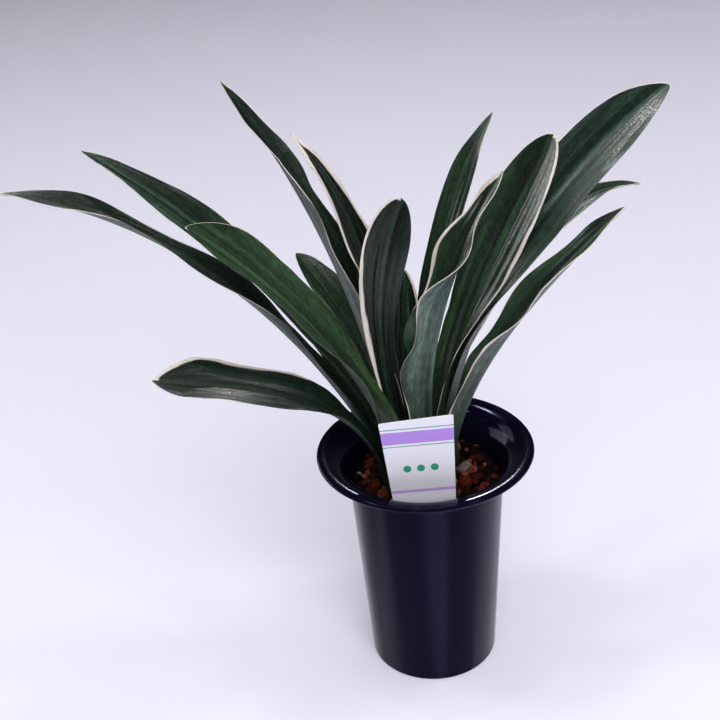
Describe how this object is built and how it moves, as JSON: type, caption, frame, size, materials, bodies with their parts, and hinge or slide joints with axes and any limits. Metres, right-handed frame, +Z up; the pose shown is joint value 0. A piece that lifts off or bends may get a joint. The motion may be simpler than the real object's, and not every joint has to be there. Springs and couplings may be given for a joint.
{
  "type": "potted japanese sacred lily",
  "caption": "Evergreen clump of long, arching, cream-edged leaves growing from red pumice in a tall black plastic pot with a wide flared rim, with a white name stake at the front.",
  "frame": {"origin": "on the pot's axis, at the flat underside of its base", "axes": "+Z up along the pot's axis; -Y towards the viewer, on the side of the name stake; +X to the right"},
  "size_m": [0.427, 0.2146, 0.4242],
  "materials": {
    "black_plastic": "glossy injection-moulded black plastic with a faint violet sheen",
    "red_pumice": "damp rough red-brown pumice gravel with a few pale grains",
    "rootstock": "pale fibrous rootstock skin",
    "leaf": "leathery waxy dark green blade with a cream margin",
    "white_plastic": "smooth white plastic sheet with a lilac band and teal rules"
  },
  "bodies": {
    "root": {"pot": "black_plastic", "pumice_bed": "red_pumice", "rootstock": "rootstock", "name_stake": "white_plastic", "leaf_low_left": "leaf", "leaf_long_left": "leaf", "leaf_back_left": "leaf", "leaf_broad_left": "leaf", "leaf_small_back_left": "leaf", "leaf_tall_left": "leaf", "leaf_upright_left": "leaf", "leaf_centre_broad": "leaf", "leaf_centre_small": "leaf", "leaf_tall_back": "leaf", "leaf_front_grey": "leaf", "leaf_big_right": "leaf", "leaf_long_right": "leaf", "leaf_thin_back_right": "leaf", "leaf_low_right": "leaf"}
  },
  "joints": []
}
